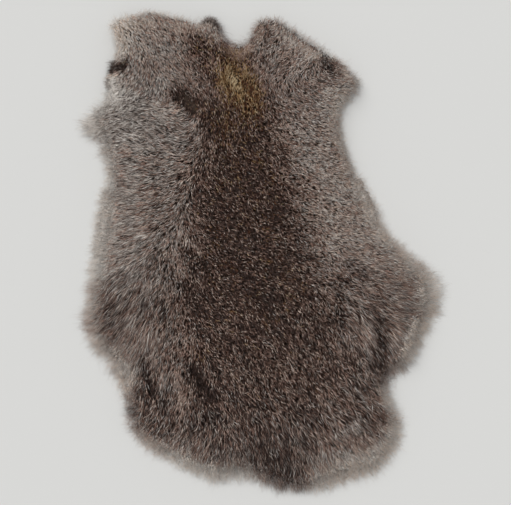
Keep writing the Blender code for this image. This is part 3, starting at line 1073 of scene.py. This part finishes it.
@dataclass
class Strands(Lot):
    """Centre lines, widths, shades, turns and places on the map of many hairs."""

    root: np.ndarray
    middle: np.ndarray
    tip: np.ndarray
    width: np.ndarray
    shade: np.ndarray
    roll: np.ndarray
    start: np.ndarray

    @staticmethod
    def joined(lots: Sequence["Strands"]) -> "Strands":
        """All hairs of several lots in one."""
        names = [column.name for column in fields(Strands)]
        return Strands(*(np.concatenate([getattr(lot, n) for lot in lots]) for n in names))


@dataclass
class HairTemplate:
    """One hair: a closed three-sided spindle, with its stations along and round.

    The map of a hair ends just before its edge, and leans a little from side to side.
    """

    map_end: float = 0.995
    map_lean: float = 0.004
    along: np.ndarray = field(init=False)
    cross: np.ndarray = field(init=False)
    faces: np.ndarray = field(init=False)

    def __post_init__(self) -> None:
        """Make the spindle from a cone whose open end is drawn to a point."""
        hair = bmesh.new()
        bmesh.ops.create_cone(
            hair, cap_ends=False, segments=3, radius1=1.0, radius2=0.0, depth=1.0
        )
        bmesh.ops.remove_doubles(hair, verts=hair.verts[:], dist=0.0001)
        end = bmesh.ops.holes_fill(hair, edges=hair.edges[:], sides=3)["faces"]
        root = bmesh.ops.poke(hair, faces=end)["verts"]
        bmesh.ops.translate(hair, verts=root, vec=(0, 0, -1.0))
        bmesh.ops.recalc_face_normals(hair, faces=hair.faces[:])
        hair.verts.index_update()
        places = np.array([corner.co for corner in hair.verts])
        heights = places[:, 2]
        self.along = (heights - heights.min()) / (heights.max() - heights.min())
        self.cross = places[:, :2]
        self.faces = np.array([[v.index for v in face.verts] for face in hair.faces])
        hair.free()

    def mesh(self, name: str, hairs: Strands) -> bpy.types.Mesh:
        """Lay the spindle along every centre line and join them in one mesh.

        Args:
            name: name of the mesh.
            hairs: the hairs to make.

        Returns:
            The joined mesh with its hair map.
        """
        line = np.stack((hairs.root, hairs.middle, hairs.tip), axis=1)
        way = hairs.tip - hairs.root
        way /= np.linalg.norm(way, axis=1)[:, None]
        side = np.cross(way, np.array((0.0, 0.0, 1.0)))
        side /= np.maximum(np.linalg.norm(side, axis=1), TINY)[:, None]
        over = np.cross(way, side)
        station = np.rint(self.along * 2).astype(int)
        turn_x, turn_y = np.cos(hairs.roll), np.sin(hairs.roll)
        half = hairs.width / 2
        corners = line[:, station].copy()
        for index, (x, y) in enumerate(self.cross):
            a = (x * turn_x - y * turn_y) * half
            b = (x * turn_y + y * turn_x) * half
            corners[:, index] += a[:, None] * side + b[:, None] * over
        count, size = len(way), len(self.along)
        faces = self.faces[None] + (np.arange(count) * size)[:, None, None]
        mesh = bpy.data.meshes.new(name)
        mesh.vertices.add(count * size)
        mesh.vertices.foreach_set("co", corners.astype(np.float32).ravel())
        total = faces.shape[0] * faces.shape[1]
        mesh.loops.add(total * 3)
        mesh.loops.foreach_set("vertex_index", faces.astype(np.int32).ravel())
        mesh.polygons.add(total)
        mesh.polygons.foreach_set("loop_start", np.arange(total, dtype=np.int32) * 3)
        mesh.update(calc_edges=True)
        mesh.validate()
        self.add_hair_map(mesh, hairs, faces)
        mesh.shade_smooth()
        return mesh

    def add_hair_map(
        self, mesh: bpy.types.Mesh, hairs: Strands, faces: np.ndarray
    ) -> None:
        """Add the map that runs along each hair, and across by its shade.

        Args:
            mesh: the joined mesh.
            hairs: the hairs that it was made from.
            faces: corner numbers of its faces.
        """
        size = len(self.along)
        round_it = np.hypot(*self.cross.T) > 0.1
        lean = np.where(round_it, np.sign(self.cross[:, 1]), 0.0) * self.map_lean
        span = (self.map_end - hairs.start)[:, None]
        along = (hairs.start[:, None] + span * self.along[None]).ravel()
        across = (hairs.shade[:, None] + lean[None]).ravel()
        corners = faces.ravel()
        layer = mesh.uv_layers.new(name=HAIR_MAP)
        pairs = np.stack((along[corners], np.clip(across[corners], 0.0, 1.0)), axis=1)
        layer.uv.foreach_set("vector", pairs.astype(np.float32).ravel())


@dataclass(frozen=True)
class LockHabit:
    """How the clumps of the coat differ from each other.

    Reaches, heights and depths are in millimetres, turns in degrees, and the rest are
    shares of a length or steps of tone. The colour is read at a share of the hair's
    length. Raised ridges are painted lighter, as painted light, and sunken partings
    darker, as painted shade.
    """

    jitter: float = 0.42
    wave_turn: float = 20.0
    crimp_turn: float = 30.0
    seen_at: float = 0.6
    length_uneven: float = 0.18
    height_uneven: float = 0.4
    ridge_reach: float = 6.0
    ridge_height: float = 0.6
    ridge_parted: float = 0.5
    # Ridges, raised by the ridge height, are also painted lighter: painted light on the
    # tops of the locks
    ridge_painted_light: float = 0.16
    ridge_fading: Fading = Fading(1.2, 1.2, 0.3, 1.2)
    parting_reach: float = 9.0
    parting_width: float = 0.20
    parting_depth: float = 1.8
    # Partings, sunk by the parting depth, are also painted darker: painted shade between
    # the locks
    parting_painted_shade: float = 0.22
    tone: float = 0.02
    tone_fading: Fading = Fading(1.25, 1.0, 0.4, 1.4)
    shift_fading: Fading = Fading(1.35, 1.1, 0.5, 1.5)


@dataclass(frozen=True)
class HairHabit:
    """How single hairs lie and differ from each other.

    Heights, widths and strays are in millimetres, and the rest are shares.
    """

    loose: tuple[float, float] = (0.35, 0.65)
    least_length: float = 1.5
    long_rim: tuple[float, float] = (0.3, 1.5)
    root_share: float = 0.25
    root_floor: float = 0.8
    tip_floor: float = 0.4
    middle_floor: float = 0.5
    in_skin: float = 0.4
    off_skin: float = 0.2
    bend: tuple[float, float] = (0.38, 0.10)
    bend_rise: float = 0.80
    stray: float = 0.25
    width_uneven: float = 0.25
    widths: tuple[float, float] = (0.5, 1.6)
    thinning: tuple[float, float] = (-0.6, 1.4)
    finest: float = 0.12
    tone_fading: Fading = Fading(2.0, 2.1, 0.6, 2.0)


@dataclass(frozen=True)
class TuftHabit:
    """How the hairs of a tuft differ: spans of shares, and millimetres.

    The crown gives a hair's height by its length: the shorter, the higher.
    """

    scatter: float = 0.5
    lengths: tuple[float, float] = (0.35, 1.1)
    crown: Fading = Fading(1.15, 1.0, 0.02, 1.0)
    heights: tuple[float, float] = (0.5, 1.0)
    tip_floor: float = 0.6
    middle_share: float = 0.75
    middle_floor: float = 0.8
    root_height: float = 1.0
    stray: float = 0.4
    widths: tuple[float, float] = (0.8, 1.6)
    tone_uneven: float = 0.12


@dataclass
class HairGrower:
    """Grows hair over the coat by its form, combing and tones."""

    form: CoatForm
    combing: Combing
    colouring: Colouring
    lock: LockHabit = LockHabit()
    hair: HairHabit = HairHabit()
    tuft: TuftHabit = TuftHabit()

    def clump_centres(self, kind: HairKind, dice: np.random.Generator) -> np.ndarray:
        """Jittered rows of clump centres that lie inside the outline.

        Args:
            kind: kind of hair.
            dice: seeded random numbers.

        Returns:
            x and y of each clump's middle.
        """
        low = self.form.low
        high = low + np.array(self.form.heights.shape) * self.form.pitch
        row = kind.clump_pitch * math.sqrt(3) / 2
        x = np.arange(low[0], high[0], kind.clump_pitch)
        y = np.arange(low[1], high[1], row)
        grid_x, grid_y = np.meshgrid(x, y)
        grid_x[1::2] += kind.clump_pitch / 2
        centres = np.stack((grid_x.ravel(), grid_y.ravel()), axis=1)
        jitter = dice.uniform(-self.lock.jitter, self.lock.jitter, centres.shape)
        centres += jitter * kind.clump_pitch
        return centres[self.form.depth(centres) > kind.inset]

    def clump_ways(self, centres: np.ndarray, wave: np.ndarray) -> np.ndarray:
        """Combed ways with the coat's waves and crimps.

        Args:
            centres: x and y of each clump's middle.
            wave: how strongly the hair crimps there.

        Returns:
            A unit vector for each clump.
        """
        ways = self.combing.ways(centres)
        turn = np.arctan2(ways[:, 1], ways[:, 0])
        turn += np.radians(self.lock.wave_turn) * WAVES.at(centres)
        turn += np.radians(self.lock.crimp_turn) * (0.5 + wave) * CRIMPS.at(centres)
        return np.stack((np.cos(turn), np.sin(turn)), axis=1)

    def drawn_out(
        self, pattern: Ripple, points: np.ndarray, reach: float,
        steps: int = 7, even: float = 0.7,
    ) -> np.ndarray:
        """Noise drawn out along the hair, as the ridges and partings of the coat are.

        Args:
            pattern: the noise.
            points: x and y of each point.
            reach: how far along the hair it is drawn each way, in millimetres.
            steps: how many places along the hair are read.
            even: the spread that its values are brought to.

        Returns:
            Values about 0 with that spread.
        """
        way = self.combing.ways(points)
        along = np.linspace(-reach * MM, reach * MM, steps)
        drawn = sum(pattern.at(points + way * step) for step in along)
        return drawn / drawn.std() * even

    def held_in(
        self, start: np.ndarray, end: np.ndarray, reach_out: np.ndarray,
        rounds: int = 6, least: float = 0.2,
    ) -> np.ndarray:
        """Shorten hairs whose tips lie too far past the outline.

        Args:
            start: x and y of each root.
            end: x and y of each tip.
            reach_out: how far each may reach past the outline.
            rounds: how often they are shortened.
            least: share of its length that a hair keeps in each round.

        Returns:
            x and y of the tips.
        """
        for _ in range(rounds):
            past = -self.form.depth(end) - reach_out
            length = np.maximum(np.hypot(*(end - start).T), TINY)
            keep = np.clip(1 - np.maximum(past, 0) / length, least, 1.0)
            end = start + (end - start) * keep[:, None]
        return end

    def lay_clumps(
        self, kind: HairKind, centres: np.ndarray, dice: np.random.Generator
    ) -> Clumps:
        """Give each clump its way, length, height and tone.

        Args:
            kind: kind of hair.
            centres: x and y of each clump's middle.
            dice: seeded random numbers.

        Returns:
            The clumps.
        """
        habit, count = self.lock, len(centres)
        length, wave, rise, fade, fringe, part = blend_lies(centres).T
        way = self.clump_ways(centres, wave)
        turned = (kind.outward * fringe)[:, None]
        way = unit(way * (1 - turned) + self.form.outward(centres) * turned)
        seen = centres + way * (habit.seen_at * MM * length)[:, None]
        tone, warmth, lift, trim = self.colouring.read(seen)
        uneven = 1 + habit.length_uneven * dice.standard_normal(count)
        length = length * (1 - trim) * MM * kind.length_share * uneven

        ridge = self.drawn_out(RIDGES, centres, habit.ridge_reach)
        parting = self.drawn_out(PARTINGS, seen, habit.parting_reach) / habit.parting_width
        parting = np.maximum(part, 0) * np.exp(-parting ** 2)
        height = habit.height_uneven * dice.standard_normal(count)
        height = height + (habit.ridge_height + habit.ridge_parted * part) * ridge
        lift = lift + MM * (height - habit.parting_depth * parting)

        # Painted shade: the hair in the partings is darkened
        tone = tone - habit.parting_painted_shade * parting + habit.tone
        uneven = kind.tone_clump * habit.tone_fading.at(tone)
        shift = kind.tone_shift * habit.shift_fading.at(tone)
        # Painted light: the hair on the raised ridges is lightened
        tone = tone + shift + habit.ridge_painted_light * habit.ridge_fading.at(tone) * ridge
        tone = tone + uneven * dice.standard_normal(count)
        return Clumps(centres, way, length, wave, rise, fade, lift, tone, warmth)

    def comb_tips(
        self, kind: HairKind, clump: Clumps, root: np.ndarray, dice: np.random.Generator
    ) -> np.ndarray:
        """Comb hairs along their clumps, gather their tips and hold them in at the rim.

        Args:
            kind: kind of hair.
            clump: each hair's clump.
            root: x and y of each root.
            dice: seeded random numbers.

        Returns:
            x and y of the tips.
        """
        count = len(root)
        base, more = self.hair.loose
        loose = base + more * np.clip(0.5 + clump.wave, 0, 1)
        turn = np.radians(kind.turn) * loose * dice.standard_normal(count)
        x, y = clump.way.T
        heading = np.column_stack(
            (x * np.cos(turn) - y * np.sin(turn), x * np.sin(turn) + y * np.cos(turn))
        )
        length = clump.length * (1 + kind.length_uneven * dice.standard_normal(count))
        length = np.maximum(length, self.hair.least_length * MM)
        tip = root + heading * length[:, None]
        clump_tip = clump.centre + clump.way * clump.length[:, None]
        tip = tip + (clump_tip - tip) * kind.gather
        reach_out = kind.reach_out * dice.uniform(0, 1, count)
        for wide, span in ((clump.fade, kind.fade), (-clump.fade, self.hair.long_rim)):
            reach_out += np.maximum(wide, 0) * MM * dice.uniform(*span, count)
        return self.held_in(root, tip, reach_out)

    def grow(self, kind: HairKind, centres: np.ndarray | None = None) -> Strands:
        """Grow one kind of hair.

        Args:
            kind: its sizes.
            centres: clump centres, or None for the whole coat.

        Returns:
            The hairs.
        """
        dice = np.random.default_rng(kind.seed)
        if centres is None:
            centres = self.clump_centres(kind, dice)
        clumps = self.lay_clumps(kind, centres, dice)
        clump = clumps.chosen(np.repeat(np.arange(len(centres)), kind.per_clump))
        count, habit, form = len(clump.tone), self.hair, self.form
        root = clump.centre + dice.standard_normal((count, 2)) * kind.spread
        tip = self.comb_tips(kind, clump, root, dice)

        coat = form.height(root)
        root_height = np.maximum(coat - kind.root_depth, habit.root_share * coat)
        root_height = np.maximum(root_height, habit.root_floor * MM)
        root_height = form.above_skin(root, root_height, -habit.in_skin * MM)
        lifted = dice.uniform(*kind.rise, count) * (0.5 + clump.rise) + clump.lift
        tip_height = np.maximum(form.height(tip) + lifted, habit.tip_floor * MM)
        tip_height = form.above_skin(tip, tip_height, habit.off_skin * MM)
        near, further = habit.bend
        bend = near + further * dice.uniform(0, 1, count)
        middle = root + (tip - root) * bend[:, None]
        middle += dice.standard_normal((count, 2)) * habit.stray * MM
        middle_height = root_height + (tip_height - root_height) * habit.bend_rise
        middle_height = np.maximum(middle_height, habit.middle_floor * MM)
        middle_height = form.above_skin(middle, middle_height, habit.off_skin * MM)

        width = kind.width * (1 + habit.width_uneven * dice.standard_normal(count))
        width = np.clip(width, *(share * kind.width for share in habit.widths))
        soft_rim = np.maximum(clump.fade, 1.0) * MM
        thin = smooth_share(form.depth(tip) / soft_rim, *habit.thinning)
        width = np.minimum(width, habit.finest * MM + width * thin)
        line = ((root, root_height), (middle, middle_height), (tip, tip_height))
        return self.strands(line, width, clump.tone, clump.warmth, kind, dice)

    def grow_tuft(self, tuft: Tuft, kind: HairKind, seed: int) -> Strands:
        """Grow a bunch of hair that fans out of one place.

        Args:
            tuft: its row.
            kind: kind of hair.
            seed: number that gives each bunch its own hairs.

        Returns:
            The hairs.
        """
        dice = np.random.default_rng(seed)
        count, habit, form = tuft.count, self.tuft, self.form
        root = np.array((tuft.x, tuft.y)) * MM
        root = root + dice.standard_normal((count, 2)) * tuft.reach * MM * habit.scatter
        turn = np.radians(tuft.heading + tuft.fan * dice.uniform(-1, 1, count))
        way = np.stack((np.cos(turn), np.sin(turn)), axis=1)
        length = tuft.length * MM * dice.uniform(*habit.lengths, count)
        tip = root + way * length[:, None]
        crown = np.sqrt(habit.crown.at(length / (tuft.length * MM)))
        tip_height = tuft.height * MM * crown * dice.uniform(*habit.heights, count)
        tip_height = tip_height + habit.tip_floor * MM
        middle = root + (tip - root) * 0.5
        middle += dice.standard_normal((count, 2)) * habit.stray * MM
        middle_height = tip_height * habit.middle_share + habit.middle_floor * MM
        middle_height = form.above_skin(middle, middle_height, self.hair.off_skin * MM)
        tip_height = form.above_skin(tip, tip_height, self.hair.off_skin * MM)
        root_height = form.above_skin(root, habit.root_height * MM, -self.hair.in_skin * MM)
        width = kind.width * dice.uniform(*habit.widths, count)
        tone = np.full(count, tuft.tone) + habit.tone_uneven * dice.standard_normal(count)
        line = ((root, root_height), (middle, middle_height), (tip, tip_height))
        return self.strands(line, width, tone, np.full(count, tuft.warmth), kind, dice)

    def strands(
        self, line: Sequence[tuple[np.ndarray, np.ndarray]], width: np.ndarray,
        tone: np.ndarray, warmth: np.ndarray, kind: HairKind, dice: np.random.Generator,
    ) -> Strands:
        """Put hairs together.

        Args:
            line: x and y, and height, of each root, middle and tip.
            width: width of each hair.
            tone: tone of each hair's clump, 0 to 1.
            warmth: 0 where the hair is grey, 0.5 brown and 1 gold.
            kind: kind of hair.
            dice: seeded random numbers.

        Returns:
            The hairs.
        """
        shade = self.shades(tone, warmth, kind, dice)
        roll = dice.uniform(0, math.tau, len(width))
        start = np.full(len(width), kind.map_start)
        root, middle, tip = (np.column_stack(point) for point in line)
        return Strands(root, middle, tip, width, shade, roll, start)

    def shades(
        self, tone: np.ndarray, warmth: np.ndarray, kind: HairKind,
        dice: np.random.Generator,
    ) -> np.ndarray:
        """Place of each hair across the hair map.

        Args:
            tone: tone of each hair's clump, 0 to 1.
            warmth: 0 where the hair is grey, 0.5 brown and 1 gold.
            kind: kind of hair.
            dice: seeded random numbers.

        Returns:
            Shares of the map's width.
        """
        uneven = kind.tone_hair * self.hair.tone_fading.at(tone)
        tone = np.clip(tone + uneven * dice.standard_normal(len(tone)), 0.0, 1.0)
        step = np.clip(warmth, 0, 1) * 2 + dice.uniform(-0.5, 0.5, len(tone))
        step = np.clip(np.rint(step), 0, 2).astype(int)
        start, end = np.array([band.value for band in Shade])[step].T
        return start + (end - start) * tone


@dataclass
class GuardHair:
    """The combed guard hair, in pieces by region of the skin."""

    form: CoatForm
    finish: GuardHairFinish = GuardHairFinish()
    rim: float = 7 * MM
    tuft_seed: int = 101
    regions: tuple[str, ...] = (
        "left_rump", "right_rump", "left_haunch", "right_haunch",
        "left_ribs", "right_ribs", "left_neck", "right_neck",
    )

    def build(self) -> list[bpy.types.Object]:
        """Grow the hair, share it out to the regions and make a piece of each.

        Returns:
            The pieces.
        """
        grower = HairGrower(self.form, Combing(self.form), Colouring(self.form))
        lots = [grower.grow(UNDERCOAT), grower.grow(GUARD_HAIR)]
        for kind in (FINE_RIM_HAIR, WHISKER):
            rim = grower.clump_centres(kind, np.random.default_rng(kind.seed))
            lots.append(grower.grow(kind, rim[self.form.depth(rim) < self.rim]))
        lots += [
            grower.grow_tuft(tuft, FINE_RIM_HAIR, seed)
            for seed, tuft in enumerate(TUFTS, self.tuft_seed)
        ]
        hairs = Strands.joined(lots)
        LOG.info("hairs: %d", len(hairs.shade))
        template = HairTemplate()
        material = self.finish.material()
        rows = len(self.regions) // 2
        across = hairs.root[:, 0]
        order = np.quantile(hairs.root[:, 1], np.linspace(0, 1, rows + 1)[1:-1])
        row = np.searchsorted(order, hairs.root[:, 1])
        pieces = []
        for index, region in enumerate(self.regions):
            in_row = row == index // 2
            centre = np.median(across[in_row])
            side = across > centre if index % 2 else across <= centre
            mesh = template.mesh(f"hair_{region}", hairs.chosen(in_row & side))
            pieces.append(place_piece(mesh.name, mesh, material, Layer.COAT))
        return pieces


@dataclass
class Underfur:
    """Dense wool under the guard hair: a closed shell below the coat's surface."""

    form: CoatForm
    pitch: float = 3.3 * MM
    inset: float = 8.0 * MM
    height_share: float = 0.60
    lumps: float = 0.5 * MM
    floor: float = 1.7 * MM
    off_skin: float = 0.3 * MM
    least_depth: float = 0.4 * MM
    rim_step: float = 0.7
    finish: UnderfurFinish = UnderfurFinish()

    def build(self) -> bpy.types.Object:
        """Trim a net to the outline, drape it low in the coat and close it below.

        Returns:
            The piece.
        """
        wool = bmesh.new()
        low, high = (np.array(corner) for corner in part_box(Layer.COAT.value))
        size = high - low
        bmesh.ops.create_grid(
            wool, x_segments=int(size[0] / self.pitch),
            y_segments=int(size[1] / self.pitch), size=0.5,
        )
        bmesh.ops.scale(wool, verts=wool.verts[:], vec=(size[0], size[1], 1.0))
        within = self.form.depth(plan(wool.verts)) > self.inset
        outside = [corner for corner, kept in zip(wool.verts[:], within) if not kept]
        bmesh.ops.delete(wool, geom=outside, context="VERTS")
        loose = [corner for corner in wool.verts if not corner.link_faces]
        bmesh.ops.delete(wool, geom=loose, context="VERTS")
        self.even_rim(wool)
        raised = bmesh.ops.extrude_face_region(wool, geom=wool.faces[:])["geom"]
        upper = [item for item in raised if isinstance(item, bmesh.types.BMVert)]
        known = set(upper)
        lower = [corner for corner in wool.verts if corner not in known]
        spots = plan(upper)
        top = self.form.height(spots) * self.height_share + self.lumps * WOOL.at(spots)
        top = np.maximum(top, self.base(spots) + self.least_depth)
        for corners, heights in ((lower, self.base(plan(lower))), (upper, top)):
            for corner, height in zip(corners, heights):
                corner.co.z = height
        bmesh.ops.recalc_face_normals(wool, faces=wool.faces[:])
        mesh = finished_mesh("underfur", wool)
        return place_piece("underfur", mesh, self.finish.material(), Layer.COAT)

    def base(self, spots: np.ndarray) -> np.ndarray:
        """Height of the shell's lower side, just above the leather."""
        return self.form.above_skin(spots, self.floor, self.off_skin)

    def even_rim(self, wool: bmesh.types.BMesh) -> None:
        """Slide the trimmed net's edge onto the inset line.

        Args:
            wool: the trimmed net.
        """
        rim = [corner for corner in wool.verts if corner.is_boundary]
        for _ in range(3):
            spots = plan(rim)
            step = (self.form.depth(spots) - self.inset)[:, None] * self.form.outward(spots)
            for corner, (x, y) in zip(rim, spots + self.rim_step * step):
                corner.co.x, corner.co.y = x, y


@dataclass
class Leather:
    """The tanned skin itself, with fine wrinkles over the frame's hide.

    Flat width and length are the hide's own, because it is cut to shape and lies flat;
    they are not used.
    """

    wrinkle: float = 0.14 * MM
    fine_share: float = 0.5
    flat_width: float = 0.250
    flat_length: float = 0.364
    finish: SuedeFinish = SuedeFinish()

    def build(self) -> bpy.types.Object:
        """Returns:
            The piece.
        """
        skin = merged_copy(Layer.HIDE)
        bmesh.ops.subdivide_edges(skin, edges=skin.edges[:], cuts=1, use_grid_fill=True)
        skin.normal_update()
        upper = [corner for corner in skin.verts if corner.normal.z > 0.5]
        spots = plan(upper)
        rise = WRINKLES.at(spots) + self.fine_share * FINE_WRINKLES.at(spots)
        rise = self.wrinkle * rise
        for corner, height in zip(upper, rise):
            corner.co.z += height
        area = sum(face.calc_area() for face in skin.faces if face.normal.z > 0.5)
        mesh = finished_mesh("leather", skin)
        suede = self.finish.material()
        piece = place_piece("leather", mesh, suede, Layer.HIDE)
        LOG.info("leather area: %.4f m2", area)
        return piece


@dataclass
class Studio:
    """Pale floor, soft light from the upper left and a camera straight above."""

    frame_width: float = 0.4088
    centre: tuple[float, float] = (-0.0047, 0.0028)
    lens: float = 85.0
    sensor: float = 36.0
    floor_size: float = 6.0
    floor_drop: float = 0.2 * MM
    lamp_place: tuple[float, float, float] = (-0.9, 0.9, 1.35)
    lamp_angle: float = 50.0
    lamp_strength: float = 1.70
    lamp_colour: tuple[float, float, float] = (1.0, 0.985, 0.97)
    sky_strength: float = 0.58
    sky_colour: tuple[float, float, float, float] = (0.98, 0.99, 1.0, 1.0)
    finish: FloorFinish = FloorFinish()

    def build(self) -> None:
        """Lay the floor, hang the light and set the camera."""
        scene = bpy.context.scene
        floor = bmesh.new()
        bmesh.ops.create_grid(floor, x_segments=1, y_segments=1, size=self.floor_size / 2)
        mesh = finished_mesh("floor", floor)
        mesh.materials.append(self.finish.material())
        ground = bpy.data.objects.new("floor", mesh)
        ground.location.z = -self.floor_drop
        scene.collection.objects.link(ground)

        lamp = bpy.data.lights.new("key", "SUN")
        lamp.angle = math.radians(self.lamp_angle)
        lamp.energy = self.lamp_strength
        lamp.color = self.lamp_colour
        key = bpy.data.objects.new("key", lamp)
        key.location = self.lamp_place
        key.rotation_euler = (-key.location).to_track_quat("-Z", "Y").to_euler()
        scene.collection.objects.link(key)

        world = bpy.data.worlds.new("studio")
        world.use_nodes = True
        sky = world.node_tree.nodes["Background"]
        sky.inputs[0].default_value = self.sky_colour
        sky.inputs[1].default_value = self.sky_strength
        scene.world = world
        scene.view_settings.view_transform = "Standard"

        lens = bpy.data.cameras.new("camera")
        lens.lens = self.lens
        lens.sensor_width = self.sensor
        camera = bpy.data.objects.new("camera", lens)
        distance = self.frame_width * self.lens / self.sensor
        camera.location = (*self.centre, distance)
        scene.collection.objects.link(camera)
        scene.camera = camera


def main() -> None:
    """Build the skin's layers from the leather up, then the studio."""
    logging.basicConfig(level=logging.INFO, format="%(name)s: %(message)s")
    form = CoatForm()
    Leather().build()
    Underfur(form).build()
    GuardHair(form).build()
    Studio().build()


if __name__ == "__main__":
    main()
